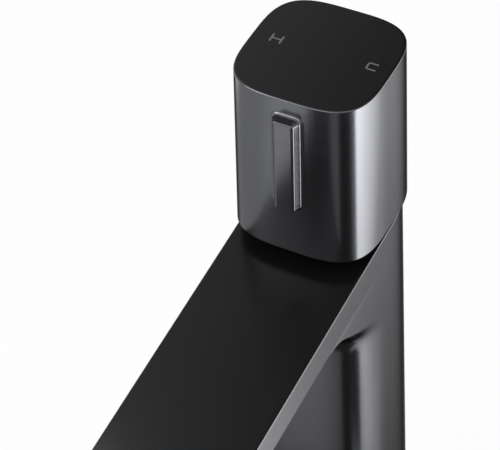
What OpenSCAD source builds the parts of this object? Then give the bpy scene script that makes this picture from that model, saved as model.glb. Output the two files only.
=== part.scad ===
// Basin mixer with a square-rounded column, a flat spout and a tall block handle.
// The handle turns for temperature and lifts for flow.
// Origin: centre of the column's underside, on the deck. +X is the user's right,
// -Y is the way the spout points, +Z is up.

/* [Overall] */
// Height of the handle's top above the deck
overall_h = 208; // [206:0.5:214]
// How far the spout's tip stands in front of the handle's axis
spout_reach = 145; // [130:1:165]
// Fall of the spout's top towards its tip, in degrees
spout_slope = 3.47; // [1:0.1:5]

/* [Body] */
// Half width of the column where it meets the spout's top
column_half_top = 22.95; // [22.4:0.05:24]
// Half width of the column on the deck
column_half_base = 26.3; // [25.8:0.1:30]
// Squareness of the rounded column and handle outlines
corner_power = 3.5; // [3:0.1:5]
// Half width of the spout at its tip
spout_half_tip = 22.05; // [19:0.05:22.6]
// Thickness of the spout
spout_t = 11.75; // [11.2:0.05:14]
// Radius of the spout's corners at the tip
tip_corner_r = 2.5; // [1.5:0.1:6]
// How far the arch under the spout reaches forward from the column
arch_reach = 20.5; // [14:0.5:28]
// How far the arch under the spout runs down the column
arch_drop = 28; // [18:0.5:34]
// Radius of the arch's edge where it meets the spout's underside
arch_edge_r = 0.5; // [0.3:0.1:2]
// Chamfer on the outer edges of body and handle
edge_chamfer = 0.35; // [0.2:0.05:0.4]
// Width of the metal rim left around the black plates
rim_w = 0.45; // [0.45:0.05:1.5]

/* [Plates] */
// Thickness of the black plates in the handle and the spout
plate_t = 1.5; // [1:0.1:1.8]
// Depth of the plates' faces below the metal rim
plate_sink = 0.05; // [0:0.05:0.3]
// Depth of the inlaid hot and cold marks
mark_t = 0.3; // [0.2:0.05:0.6]
// Width of each mark
mark_w = 3.9; // [3:0.1:5]
// Height of each mark
mark_h = 3.5; // [2.6:0.1:4.5]
// Width of the marks' strokes
mark_stroke = 0.7; // [0.4:0.05:0.9]
// Half the distance between the two marks
mark_half_gap = 16.05; // [12:0.05:17]
// Place of the marks' common centre, to the right of and behind the axis
mark_shift = [0.9, 1.15];

/* [Handle] */
// Height of the handle
handle_h = 62.3; // [60.5:0.1:65]
// Gap between the handle's underside and the body, on the axis
handle_gap = 3.7; // [2.6:0.1:5]
// Half width of the handle at its top
handle_half_top = 23; // [22.5:0.1:25]
// Half width of the handle at its underside
handle_half_base = 24.25; // [23:0.05:26]
// Radius of the round hollow in the handle
handle_bore_r = 19; // [18.4:0.1:20]
// Thickness of metal between the hollow and the handle's top plate
handle_web = 8.2; // [7:0.1:9]
// Distance from the handle's top down to the finger rib
rib_drop = 6.4; // [4:0.1:9]
// Length of the finger rib
rib_len = 35.2; // [25:0.1:42]
// Half width of the finger rib's outer face
rib_half_w = 3.4; // [2.5:0.1:5]
// How far the finger rib stands out of the handle
rib_out = 3.2; // [2:0.1:5]
// Rounding of the finger rib's edges
rib_round = 0.7; // [0.4:0.05:1]

/* [Cartridge] */
// Radius of the neck that carries the guide collar
neck_r = 16; // [15:0.1:16.6]
// Radius of the cartridge's bore in the neck
cartridge_bore_r = 13; // [12:0.1:13.5]
// Radius of the bore in the cartridge shell
shell_bore_r = 10; // [9.6:0.1:10.6]
// Depth of the cartridge's floor below the spout's underside
cartridge_drop = 18; // [17:0.5:22]
// Radius of the two water ports in the cartridge's floor
port_r = 2.2; // [1.6:0.1:2.6]
// Radius of the lifting stem
stem_r = 5; // [4.6:0.1:5.4]
// Half width across the stem's flats
stem_flat = 4; // [3.6:0.1:4.3]
// Radius of the hole that the stem's seal closes
seat_r = 4; // [3:0.1:4.5]

/* [Movement] */
// Lift of the handle from closed to fully open
lift = 10; // [6:0.5:10]
// Turn of the handle to each side, in degrees
turn_angle = 45; // [30:1:50]

/* [Outlet] */
// Distance from the spout's tip back to the outlet's centre
outlet_inset = 19; // [15:0.5:30]
// Radius of the outlet's threaded bore
outlet_r = 9; // [8:0.1:10]
// Height of the water channel in the spout
channel_h = 4.6; // [3.5:0.1:4.8]
// Width of the water channel in the spout
channel_w = 20; // [14:0.5:26]

/* [Base] */
// Radius of the bore in the column's foot
foot_bore_r = 21; // [20:0.1:21.4]
// Radius of the hollow in the column
hollow_r = 18.3; // [17:0.1:18.6]
// Thickness of the inlet block
block_h = 18; // [16:0.5:24]
// Height of the threaded ring that holds the inlet block
lock_ring_h = 6; // [4:0.5:10]
// Distance between the two water inlets
inlet_gap = 14.8; // [14:0.1:16]
// Radius of the inlets' threads
inlet_r = 4.5; // [4:0.1:5]
// Depth of the inlets' threads
inlet_depth = 12; // [8:0.5:12]
// Outer radius of the two riser tubes
riser_r = 4; // [3.5:0.1:4.4]
// Wall of the riser tubes
riser_wall = 1; // [0.6:0.1:1.2]
// Width of the gasket under the column
gasket_w = 1.8; // [1.2:0.1:2]
// Height of the gasket
gasket_h = 1.6; // [1:0.1:3]

/* [Clamp] */
// Thickness of the deck between the column and the clamp
deck_t = 30; // [15:1:45]
// Radius of the mounting stud
stud_r = 4; // [3:0.1:4.3]
// Distance of the stud behind the column's axis
stud_back = 13.5; // [12.8:0.1:13.8]
// Length of stud below the clamp's upper face
stud_tail = 32; // [28:1:50]
// Radius of the clamp washers
clamp_r = 28; // [25:0.5:34]
// Width of the hose opening in the clamp washers
hose_gap_w = 30; // [28:0.5:36]
// Thickness of the rubber washer
rubber_t = 3; // [2:0.5:5]
// Thickness of the steel washer
washer_t = 2.5; // [2:0.5:4]
// Height of the clamp nut
nut_h = 10; // [6:0.5:12]
// Width of the clamp nut across its flats
nut_flats = 13; // [12.5:0.5:17]

/* [Fit] */
// Gap round fixed pieces that sit in a bore or recess
seat_clear = 0.05; // [0.02:0.01:0.1]
// Gap round pieces that slide or turn
run_clear = 0.07; // [0.03:0.01:0.1]

/* [Hidden] */
$fn = 64;

gunmetal = [0.36, 0.365, 0.38];
satin_black = [0.10, 0.10, 0.10];
mark_grey = [0.45, 0.45, 0.45];
brass = [0.76, 0.61, 0.33];
copper = [0.78, 0.48, 0.33];
steel = [0.70, 0.70, 0.72];
rubber = [0.08, 0.08, 0.08];
ceramic = [0.92, 0.91, 0.88];
nylon = [0.16, 0.16, 0.17];
pale_plastic = [0.82, 0.83, 0.80];

// Reach past a surface so that a cut opens it cleanly
past = 1;
// Steps round each quarter of a rounded outline
quarter_steps = 12;
// Length of straight side left in the middle of a rounded outline
flat_len = 0.4;

slope_rise = tan(spout_slope);
handle_z0 = overall_h - handle_h;
body_top = handle_z0 - handle_gap;
under_z = body_top - spout_t;

// Handle's inside, counted down from its top
plate_floor = overall_h - plate_t - plate_sink;
handle_hollow_top = plate_floor - handle_web;
adapter_h = 12;
adapter_z0 = handle_hollow_top - adapter_h;
key_w = 6;
key_out = 1.8;
screw_r = 2;
screw_head_r = 3.6;
screw_head_h = 2.6;
screw_len = 20;
screw_sink = 0.4;
screw_head_z = plate_floor - screw_head_h - screw_sink;

// Spindle, turn ring, nut and neck, counted down from the adapter
spindle_room = 4.4;
spindle_over = 3;
ring_gap = 0.2;
ring_t = 3.4;
nut_flange_t = 3;
nut_thread_h = 6;
driver_top = adapter_z0 - spindle_room;
ring_z0 = driver_top - spindle_over - ring_t;
nut_top = ring_z0 - ring_gap;
neck_top = nut_top - nut_flange_t;
neck_base_step = 1;
neck_base_r = neck_r + neck_base_step;

// Guide collar, between the handle's underside and the neck's top
collar_inset = 4.5;
neck_over = 4;
collar_z0 = handle_z0 + collar_inset;
collar_h = neck_top - neck_over - collar_z0;

// Water channel in the spout, counted down from the sloping top
channel_cover = 1.9;
channel_mid = plate_t + plate_sink + channel_cover + channel_h / 2;
outlet_y = -(spout_reach - outlet_inset);
outlet_z = body_top - channel_mid - slope_rise * cartridge_bore_r;

// Cartridge, counted up from its floor
floor_z = under_z - cartridge_drop;
floor_t = 8;
hollow_top = floor_z - floor_t;
shell_r = cartridge_bore_r - seat_clear;
shell_top = neck_top - nut_thread_h;
shell_floor_t = 5;
disc_t = 4;
mixing_t = 3;
disc_film = 0.05;
disc_r = shell_bore_r - run_clear;
mixing_z0 = floor_z + shell_floor_t + disc_t + disc_film;
driver_z0 = mixing_z0 + mixing_t;
port_in = 0.8;
port_x = inlet_gap / 2 - port_in;
seat_drop = 0.2;
seat_top = outlet_z - channel_h / 2 - seat_drop;
seat_t = 3;
chamber_r = 7.5;
head_t = 2;
head_room = 1.2;
head_r = chamber_r - head_room;
seal_t = 2;
seal_in = 0.5;
spigot_r = 1.5;
lift_spare = 1.5;
chamber_top = seat_top + lift + head_t + seal_t + lift_spare;
groove_over = 0.4;
groove_deep = 1.4;
groove_h = channel_h + groove_over;
groove_r = shell_bore_r - groove_deep;
outlet_hole_r = channel_h / 2;
shell_seal_off = 3;
shell_seal_z = [
    outlet_z - outlet_hole_r - shell_seal_off,
    outlet_z + outlet_hole_r + shell_seal_off
];
flange_in = 0.4;
nut_flange_r = neck_r - flange_in;
spindle_wall = 2.9;
spindle_r = stem_r + spindle_wall;
stop_span = 20;
stop_from_spindle = 2.5;
stop_from_edge = 1;
stop_in = spindle_r + stop_from_spindle;
stop_out = nut_flange_r - stop_from_edge;
stop_h = 3.3;
guide_len = 10;
stem_seal_up = 3;
stem_seal_z = chamber_top + stem_seal_up;
stem_seal_wire = 0.65;
seal_squeeze = 0.02;

// Foot and inlet block, counted up from the deck
lock_gap = 2;
block_z0 = lock_gap + lock_ring_h;
block_top = block_z0 + block_h;
socket_depth = 5;
riser_x = inlet_gap / 2;
passage_in = 0.2;
passage_r = riser_r - riser_wall - passage_in;
lock_ring_wall = 2.7;
lock_ring_in = foot_bore_r - lock_ring_wall;
gasket_off = 1;
gasket_in = foot_bore_r + gasket_off;
ring_seal_w = 1.2;
ring_seal_h = 1.5;
stud_deep = 12;

// Aerator, counted from the spout's underside, in the sloping frame
spout_depth = spout_t * cos(spout_slope);
aerator_sink = 0.2;
aerator_h = 3.6;
aerator_wall = 1.7;
insert_sink = 0.6;
aerator_hole_r = 0.5;
aerator_wire = 0.45;
aerator_groove_h = 1.1;
aerator_groove_deep = 1;
aerator_groove_over = 0.6;

// Half width of the column at a height above the deck
function column_half(z) = column_half_base + (column_half_top - column_half_base) * z / body_top;

function mix(a, b, t) = a + (b - a) * t;

// Half width of the spout's underside at a distance in front of the axis
function side_half(d) = mix(column_half(under_z), spout_half_tip, d / spout_reach);

function bulge(v, p) = sign(v) * pow(abs(v), 2 / p);

// One rounded quarter of an outline: centre, size, squareness, and which quarter
function quarter(cx, cy, c, p, q) = [
    for (i = [0 : quarter_steps])
        let (t = 90 * (q + i / quarter_steps))
        [cx + c * bulge(cos(t), p), cy + c * bulge(sin(t), p)]
];

// Outline with a rounded square back of half width ab, and a front that ends at
// half width af, a distance yf in front of the axis, with corners of size cf
function outline(ab, af, yf, cf, pf) = concat(
    quarter(flat_len, flat_len, ab - flat_len, corner_power, 0),
    quarter(-flat_len, flat_len, ab - flat_len, corner_power, 1),
    quarter(-(af - cf), -(yf - cf), cf, pf, 2),
    quarter(af - cf, -(yf - cf), cf, pf, 3)
);

function rounded_square(half) = outline(half, half, half, half - flat_len, corner_power);

// Faces that join equal rings of points into a closed solid
function ring_faces(n, rings) = concat(
    [[for (j = [0 : n - 1]) j]],
    [for (i = [0 : rings - 2], j = [0 : n - 1])
        [i * n + j, (i + 1) * n + j, (i + 1) * n + (j + 1) % n, i * n + (j + 1) % n]],
    [[for (j = [n - 1 : -1 : 0]) (rings - 1) * n + j]]
);

module loft(rings) {
    n = len(rings[0]);
    polyhedron(points = [for (ring = rings, p = ring) p], faces = ring_faces(n, len(rings)));
}

// A ring lifted to height z, leaning with the spout's slope by the share lean
function lifted(points, z, lean) = [for (p = points) [p[0], p[1], z + lean * slope_rise * p[1]]];

// Rings of the arch: the front grows forward while the corners tighten
arch_steps = 12;
corner_fade = 7;
arch_z0 = under_z - arch_drop;
under_skim = 0.25;

function arch_ring(k) =
    let (
        t = 90 * k / arch_steps,
        s = 1 - cos(t),
        z = arch_z0 + (arch_drop - under_skim) * sin(t),
        half = column_half(z),
        front = half + arch_reach * s,
        keep = pow(1 - s, corner_fade),
        c = mix(arch_edge_r, half - flat_len, keep),
        p = mix(2, corner_power, keep)
    )
    lifted(outline(half, mix(half, side_half(front - c), s), front, c, p), z, 1);

function spout_ring(z, inset) = lifted(
    outline(column_half(z) - inset, spout_half_tip - inset, spout_reach - inset,
            tip_corner_r, 2),
    z, 1
);

function column_ring(z, inset) = lifted(rounded_square(column_half(z) - inset), z, 0);

// Height at which the column's rings start to lean with the spout
lean_run = 40;
lean_z0 = arch_z0 - lean_run;

// Frame of the sloping top: z is 0 on the spout's top face
module on_slope() {
    translate([0, 0, body_top])
        rotate([spout_slope, 0, 0])
            children();
}

// Outline of the spout's top face in the sloping frame, drawn in by an inset
module top_outline(inset) {
    polygon([
        for (p = outline(column_half_top - inset, spout_half_tip - inset, spout_reach - inset,
                         tip_corner_r, 2))
            [p[0], p[1] / cos(spout_slope)]
    ]);
}

module tube(r_out, r_in, h) {
    difference() {
        cylinder(r = r_out, h = h);
        translate([0, 0, -past])
            cylinder(r = r_in, h = h + 2 * past);
    }
}

module o_ring(mid_r, wire_r) {
    rotate_extrude()
        translate([mid_r, 0])
            circle(r = wire_r, $fn = 24);
}

// Round bar with two flats
module flat_bar(r, flat, h) {
    intersection() {
        cylinder(r = r, h = h);
        translate([-flat, -r - past, -past])
            cube([2 * flat, 2 * (r + past), h + 2 * past]);
    }
}

// Wedge of a ring between two angles
module ring_wedge(r_in, r_out, h, a0, a1) {
    rotate([0, 0, a0])
        rotate_extrude(angle = a1 - a0)
            translate([r_in, 0])
                square([r_out - r_in, h]);
}

module at_ports(x) {
    for (side = [-1, 1])
        translate([side * x, 0, 0])
            children();
}

// Body

module body_skin() {
    loft(concat(
        [
            column_ring(0, edge_chamfer),
            column_ring(edge_chamfer, 0),
            column_ring(lean_z0, 0)
        ],
        [for (k = [0 : arch_steps]) arch_ring(k)],
        [
            spout_ring(under_z, 0),
            spout_ring(body_top - edge_chamfer, 0),
            spout_ring(body_top, edge_chamfer)
        ]
    ));
}

module neck() {
    translate([0, 0, under_z])
        cylinder(r = neck_base_r, h = collar_z0 - under_z);
    translate([0, 0, under_z])
        cylinder(r = neck_r, h = neck_top - under_z);
}

module spout_channel() {
    channel_end = outlet_y / cos(spout_slope);
    on_slope()
        translate([-channel_w / 2, channel_end, -channel_mid - channel_h / 2])
            cube([channel_w, -channel_end - cartridge_bore_r + past, channel_h]);
}

module outlet_bore() {
    on_slope()
        translate([0, outlet_y / cos(spout_slope), -spout_depth - past])
            cylinder(r = outlet_r, h = spout_depth + past - channel_mid + channel_h / 2 - past);
}

module foot_cuts() {
    translate([0, 0, -past])
        cylinder(r = foot_bore_r, h = block_top + past);
    translate([0, 0, block_top - past])
        cylinder(r = hollow_r, h = hollow_top - block_top + past);
    translate([0, 0, -past])
        tube(gasket_in + gasket_w + seat_clear, gasket_in - seat_clear, gasket_h + past);
}

module valve_floor_cuts() {
    at_ports(riser_x)
        translate([0, 0, hollow_top - past])
            cylinder(r = riser_r + seat_clear, h = socket_depth + past);
    at_ports(riser_x)
        translate([0, 0, hollow_top - past])
            cylinder(r = riser_r + ring_seal_w, h = ring_seal_h + past);
    at_ports(port_x)
        translate([0, 0, hollow_top + socket_depth - past])
            cylinder(r = port_r, h = floor_t - socket_depth + 2 * past);
}

module body_casting() {
    color(gunmetal)
        difference() {
            union() {
                difference() {
                    body_skin();
                    on_slope()
                        translate([0, 0, -plate_t - plate_sink])
                            linear_extrude(plate_t + plate_sink + past)
                                top_outline(rim_w);
                }
                neck();
            }
            translate([0, 0, floor_z])
                cylinder(r = cartridge_bore_r, h = neck_top - floor_z + past);
            spout_channel();
            outlet_bore();
            foot_cuts();
            valve_floor_cuts();
        }
}

module spout_top_plate() {
    color(satin_black)
        difference() {
            on_slope()
                translate([0, 0, -plate_t - plate_sink])
                    linear_extrude(plate_t)
                        top_outline(rim_w + seat_clear);
            translate([0, 0, under_z])
                cylinder(r = neck_base_r + seat_clear, h = handle_z0 - under_z);
        }
}

// Outlet

module at_outlet(depth) {
    on_slope()
        translate([0, outlet_y / cos(spout_slope), -spout_depth + depth])
            children();
}

module aerator_housing() {
    outer = outlet_r - seat_clear;
    key_slot_w = 2;
    key_slot_h = 0.8;
    color(steel)
        at_outlet(aerator_sink)
            difference() {
                tube(outer, outer - aerator_wall, aerator_h);
                translate([0, 0, aerator_h - aerator_groove_over - aerator_groove_h])
                    tube(outer + past, outer - aerator_groove_deep, aerator_groove_h);
                translate([-outer - past, -key_slot_w / 2, -past])
                    cube([2 * (outer + past), key_slot_w, past + key_slot_h]);
            }
}

module aerator_seal() {
    outer = outlet_r - seat_clear;
    color(rubber)
        at_outlet(aerator_sink + aerator_h - aerator_groove_over - aerator_groove_h / 2)
            o_ring(outer - aerator_wire - seal_squeeze, aerator_wire);
}

module aerator_insert() {
    insert_r = outlet_r - seat_clear - aerator_wall - seat_clear;
    lip_r = insert_r + aerator_wall / 2;
    lip_h = 0.8;
    hole_rings = 3;
    hole_pitch = insert_r / (hole_rings + 1 / 2);
    color(pale_plastic)
        at_outlet(0)
            difference() {
                union() {
                    translate([0, 0, insert_sink])
                        cylinder(r = insert_r, h = aerator_sink + aerator_h - insert_sink);
                    translate([0, 0, aerator_sink + aerator_h])
                        cylinder(r = lip_r, h = lip_h);
                }
                for (ring = [1 : hole_rings])
                    for (i = [0 : 6 * ring - 1])
                        rotate([0, 0, i * 60 / ring])
                            translate([ring * hole_pitch, 0, 0])
                                cylinder(r = aerator_hole_r, h = spout_depth, $fn = 16);
                cylinder(r = aerator_hole_r, h = spout_depth, $fn = 16);
            }
}

// Cartridge

module cartridge_shell() {
    seal_gap_h = 1.6;
    seal_gap_deep = 1.4;
    color(brass)
        translate([0, 0, floor_z])
            difference() {
                cylinder(r = shell_r, h = shell_top - floor_z);
                translate([0, 0, shell_floor_t])
                    cylinder(r = shell_bore_r, h = shell_top - floor_z);
                at_ports(port_x)
                    translate([0, 0, -past])
                        cylinder(r = port_r, h = shell_floor_t + 2 * past);
                at_ports(port_x)
                    translate([0, 0, -past])
                        cylinder(r = port_r + ring_seal_w + seat_clear, h = ring_seal_h + past);
                translate([0, 0, outlet_z - floor_z])
                    rotate([90, 0, 0])
                        cylinder(r = outlet_hole_r, h = shell_r + past);
                for (z = shell_seal_z)
                    translate([0, 0, z - floor_z - seal_gap_h / 2])
                        tube(shell_r + past, shell_r - seal_gap_deep, seal_gap_h);
            }
}

module shell_seals() {
    wire = 0.7;
    color(rubber)
        for (z = shell_seal_z)
            translate([0, 0, z])
                o_ring(shell_r - wire + seat_clear / 2, wire);
}

module port_seals() {
    color(rubber)
        at_ports(port_x)
            translate([0, 0, floor_z])
                tube(port_r + ring_seal_w, port_r, ring_seal_h);
}

module fixed_disc() {
    color(ceramic)
        translate([0, 0, floor_z + shell_floor_t])
            difference() {
                cylinder(r = disc_r, h = disc_t);
                at_ports(port_x)
                    translate([0, 0, -past])
                        cylinder(r = port_r, h = disc_t + 2 * past);
            }
}

module mixing_disc() {
    // Each port is half open at rest, and one closes as the other opens
    slot_trim = 2.9;
    color(ceramic)
        translate([0, 0, mixing_z0])
            difference() {
                cylinder(r = disc_r, h = mixing_t);
                translate([0, 0, -past])
                    ring_wedge(port_x - port_r, chamber_r, mixing_t + 2 * past,
                               180 + slot_trim, 360 - slot_trim);
            }
}

module disc_driver() {
    nut_room = 0.1;
    seal_room = 0.1;
    cross_hole_in = 0.5;
    color(pale_plastic)
        difference() {
            union() {
                translate([0, 0, driver_z0])
                    cylinder(r = disc_r, h = shell_top - nut_room - driver_z0);
                translate([0, 0, driver_z0])
                    cylinder(r = spindle_r - run_clear, h = driver_top - driver_z0);
            }
            translate([0, 0, driver_z0 - past])
                cylinder(r = chamber_r, h = seat_top - seat_t - driver_z0 + past);
            translate([0, 0, seat_top - seat_t - past])
                cylinder(r = seat_r, h = seat_t + 2 * past);
            translate([0, 0, seat_top])
                cylinder(r = chamber_r, h = chamber_top - seat_top);
            translate([0, 0, outlet_z - groove_h / 2])
                tube(shell_bore_r + past, groove_r, groove_h);
            for (a = [0 : 60 : 359])
                translate([0, 0, outlet_z])
                    rotate([90, 0, a])
                        cylinder(r = outlet_hole_r - cross_hole_in, h = shell_bore_r);
            translate([0, 0, chamber_top - past])
                cylinder(r = stem_r + run_clear, h = driver_top - guide_len - chamber_top + past);
            translate([0, 0, stem_seal_z - stem_seal_wire - seal_room])
                cylinder(r = stem_r + run_clear + 2 * stem_seal_wire,
                         h = 2 * (stem_seal_wire + seal_room));
            translate([0, 0, driver_top - guide_len - past])
                flat_bar(stem_r + run_clear, stem_flat + run_clear, guide_len + 2 * past);
        }
}

module stem_seal() {
    color(rubber)
        translate([0, 0, stem_seal_z])
            o_ring(stem_r + run_clear + stem_seal_wire - seal_squeeze, stem_seal_wire);
}

module retaining_nut() {
    color(brass) {
        difference() {
            union() {
                translate([0, 0, shell_top])
                    cylinder(r = cartridge_bore_r - seat_clear, h = nut_thread_h);
                translate([0, 0, neck_top])
                    cylinder(r = nut_flange_r, h = nut_flange_t);
                translate([0, 0, neck_top])
                    ring_wedge(stop_in, stop_out, nut_flange_t + stop_h,
                               90 - stop_span / 2, 90 + stop_span / 2);
            }
            translate([0, 0, shell_top - past])
                cylinder(r = spindle_r, h = nut_thread_h + nut_flange_t + 2 * past);
        }
    }
}

module turn_ring() {
    stop_slack = 1;
    slot_in = 0.2;
    open_half = stop_span / 2 + turn_angle + stop_slack;
    color(nylon)
        translate([0, 0, ring_z0])
            difference() {
                tube(nut_flange_r, spindle_r - run_clear, ring_t);
                translate([0, 0, -past])
                    ring_wedge(stop_in - slot_in, nut_flange_r + past, ring_t + 2 * past,
                               90 - open_half, 90 + open_half);
            }
}

module guide_collar() {
    outer = handle_bore_r - run_clear;
    grease_h = 1.2;
    grease_deep = 0.6;
    color(nylon)
        translate([0, 0, collar_z0])
            difference() {
                tube(outer, neck_r + seat_clear / 2, collar_h);
                for (share = [1, 2])
                    translate([0, 0, collar_h * share / 3 - grease_h / 2])
                        tube(outer + past, outer - grease_deep, grease_h);
            }
}

// Water supply and foot

module riser() {
    z0 = block_top - socket_depth;
    translate([0, 0, z0])
        tube(riser_r, riser_r - riser_wall, hollow_top + socket_depth - z0);
}

module hot_riser() {
    color(copper)
        translate([-riser_x, 0, 0])
            riser();
}

module cold_riser() {
    color(copper)
        translate([riser_x, 0, 0])
            riser();
}

module riser_seals() {
    color(rubber)
        at_ports(riser_x)
            for (z = [block_top - ring_seal_h, hollow_top])
                translate([0, 0, z])
                    tube(riser_r + ring_seal_w - seat_clear, riser_r + seat_clear / 2, ring_seal_h);
}

module inlet_block() {
    color(brass)
        difference() {
            translate([0, 0, block_z0])
                cylinder(r = foot_bore_r - seat_clear, h = block_h);
            at_ports(riser_x) {
                translate([0, 0, block_z0 - past])
                    cylinder(r = inlet_r, h = inlet_depth + past);
                translate([0, 0, block_z0])
                    cylinder(r = passage_r, h = block_h);
                translate([0, 0, block_top - socket_depth])
                    cylinder(r = riser_r + seat_clear, h = socket_depth + past);
                translate([0, 0, block_top - ring_seal_h])
                    cylinder(r = riser_r + ring_seal_w, h = ring_seal_h + past);
            }
            translate([0, stud_back, block_z0 - past])
                cylinder(r = stud_r + seat_clear, h = stud_deep + past);
        }
}

module lock_ring() {
    notch_w = 4;
    notch_deep = 1.4;
    color(steel)
        translate([0, 0, lock_gap])
            difference() {
                tube(foot_bore_r - seat_clear, lock_ring_in, lock_ring_h);
                for (a = [45 : 90 : 315])
                    rotate([0, 0, a])
                        translate([lock_ring_in - past, -notch_w / 2, -past])
                            cube([past + notch_deep, notch_w, lock_ring_h / 2 + past]);
            }
}

module base_gasket() {
    color(rubber)
        tube(gasket_in + gasket_w, gasket_in, gasket_h);
}

module mounting_stud() {
    tip_chamfer = 0.8;
    color(steel)
        translate([0, stud_back, 0])
            rotate_extrude()
                polygon([
                    [0, -deck_t - stud_tail],
                    [stud_r - tip_chamfer, -deck_t - stud_tail],
                    [stud_r, -deck_t - stud_tail + tip_chamfer],
                    [stud_r, block_z0 + stud_deep],
                    [0, block_z0 + stud_deep]
                ]);
}

// Handle

module handle_skin() {
    lower = 0.8;
    knee = 0.24;
    loft([
        lifted(rounded_square(handle_half_base - lower), handle_z0, 0),
        lifted(rounded_square(handle_half_base - knee), handle_z0 + knee, 0),
        lifted(rounded_square(handle_half_base), handle_z0 + lower, 0),
        lifted(rounded_square(handle_half_top), overall_h - edge_chamfer, 0),
        lifted(rounded_square(handle_half_top - edge_chamfer), overall_h, 0)
    ]);
}

// Distance of the handle's front face from the axis, at a depth below its top
function face_at(drop) = mix(handle_half_top, handle_half_base, drop / handle_h);

module finger_rib() {
    root_wide = 1.1;
    bite = 1.5;
    hull()
        for (drop = [rib_drop + rib_round, rib_drop + rib_len - rib_round])
            for (side = [-1, 1])
                translate([0, -face_at(drop), overall_h - drop]) {
                    translate([side * (rib_half_w - rib_round), -rib_out + rib_round, 0])
                        sphere(r = rib_round, $fn = 20);
                    translate([side * (rib_half_w + root_wide - rib_round), bite, 0])
                        sphere(r = rib_round, $fn = 20);
                }
}

module bar(x, y, w, h) {
    translate([x - w / 2, y - h / 2])
        square([w, h]);
}

module mark_shapes() {
    stem_x = (mark_w - mark_stroke) / 2;
    arm_y = (mark_h - mark_stroke) / 2;
    translate([mark_shift[0] - mark_half_gap, mark_shift[1]])
        union() {
            for (side = [-1, 1])
                bar(side * stem_x, 0, mark_stroke, mark_h);
            bar(0, 0, mark_w - mark_stroke, mark_stroke);
        }
    translate([mark_shift[0] + mark_half_gap, mark_shift[1]])
        union() {
            for (side = [-1, 1])
                bar(0, side * arm_y, mark_w, mark_stroke);
            bar(-stem_x, 0, mark_stroke, mark_h);
        }
}

module handle_shell() {
    color(gunmetal)
        difference() {
            union() {
                handle_skin();
                finger_rib();
            }
            translate([0, 0, plate_floor])
                linear_extrude(plate_t + plate_sink + past)
                    polygon(rounded_square(handle_half_top - rim_w));
            translate([0, 0, handle_z0 - past])
                cylinder(r = handle_bore_r, h = handle_hollow_top - handle_z0 + past);
            translate([-key_w / 2, 0, adapter_z0])
                cube([key_w, handle_bore_r + key_out, adapter_h]);
            translate([0, 0, handle_hollow_top - past])
                cylinder(r = screw_r + seat_clear, h = handle_web + 2 * past);
            translate([0, 0, screw_head_z])
                cylinder(r = screw_head_r + seat_clear, h = screw_head_h + screw_sink + past);
        }
}

module handle_top_plate() {
    color(satin_black)
        difference() {
            translate([0, 0, plate_floor])
                linear_extrude(plate_t)
                    polygon(rounded_square(handle_half_top - rim_w - seat_clear));
            translate([0, 0, plate_floor + plate_t - mark_t])
                linear_extrude(mark_t + past)
                    mark_shapes();
        }
}

module direction_marks() {
    color(mark_grey)
        translate([0, 0, plate_floor + plate_t - mark_t])
            linear_extrude(mark_t)
                mark_shapes();
}

module handle_adapter() {
    pocket_r = 3.5;
    pocket_roof = 3;
    color(pale_plastic)
        difference() {
            union() {
                translate([0, 0, adapter_z0])
                    cylinder(r = handle_bore_r - seat_clear, h = adapter_h);
                translate([-key_w / 2 + seat_clear, 0, adapter_z0])
                    cube([key_w - 2 * seat_clear, handle_bore_r + key_out - seat_clear, adapter_h]);
            }
            translate([0, 0, adapter_z0 - past])
                flat_bar(stem_r + seat_clear, stem_flat + seat_clear, adapter_h + 2 * past);
            for (a = [45 : 90 : 315])
                rotate([0, 0, a])
                    translate([(stem_r + handle_bore_r) / 2, 0, adapter_z0 - past])
                        cylinder(r = pocket_r, h = adapter_h - pocket_roof + past);
        }
}

module handle_screw() {
    socket_r = 1.5;
    color(steel)
        difference() {
            union() {
                translate([0, 0, screw_head_z])
                    cylinder(r = screw_head_r, h = screw_head_h);
                translate([0, 0, screw_head_z - screw_len])
                    cylinder(r = screw_r, h = screw_len + past);
            }
            translate([0, 0, screw_head_z + screw_head_h / 2])
                cylinder(r = socket_r, h = screw_head_h, $fn = 6);
        }
}

module valve_stem() {
    flats_spare = 0.8;
    flats_z0 = driver_top - guide_len - lift - flats_spare;
    head_z0 = seat_top + seal_t;
    z_screw = screw_head_z - screw_len;
    color(brass)
        difference() {
            union() {
                translate([0, 0, seat_top])
                    cylinder(r = spigot_r, h = seal_t + past);
                translate([0, 0, head_z0])
                    cylinder(r = head_r, h = head_t);
                translate([0, 0, head_z0])
                    cylinder(r = stem_r, h = flats_z0 - head_z0);
                translate([0, 0, flats_z0 - past])
                    flat_bar(stem_r, stem_flat, handle_hollow_top - flats_z0 + past);
            }
            translate([0, 0, z_screw])
                cylinder(r = screw_r + seat_clear / 2, h = handle_hollow_top - z_screw + past);
        }
}

module valve_seal() {
    color(rubber)
        translate([0, 0, seat_top])
            tube(head_r - seal_in, spigot_r + seat_clear / 2, seal_t);
}

// Clamp under the deck

module horseshoe(r, t) {
    gap_back = 6;
    stud_room = 0.3;
    difference() {
        cylinder(r = r, h = t);
        translate([-hose_gap_w / 2, -r - past, -past])
            cube([hose_gap_w, r + past + gap_back, t + 2 * past]);
        translate([0, stud_back, -past])
            cylinder(r = stud_r + stud_room, h = t + 2 * past);
    }
}

module rubber_washer() {
    rubber_in = 0.5;
    color(rubber)
        translate([0, 0, -deck_t - rubber_t])
            horseshoe(clamp_r - rubber_in, rubber_t);
}

module steel_washer() {
    color(steel)
        translate([0, 0, -deck_t - rubber_t - washer_t])
            horseshoe(clamp_r, washer_t);
}

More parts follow.
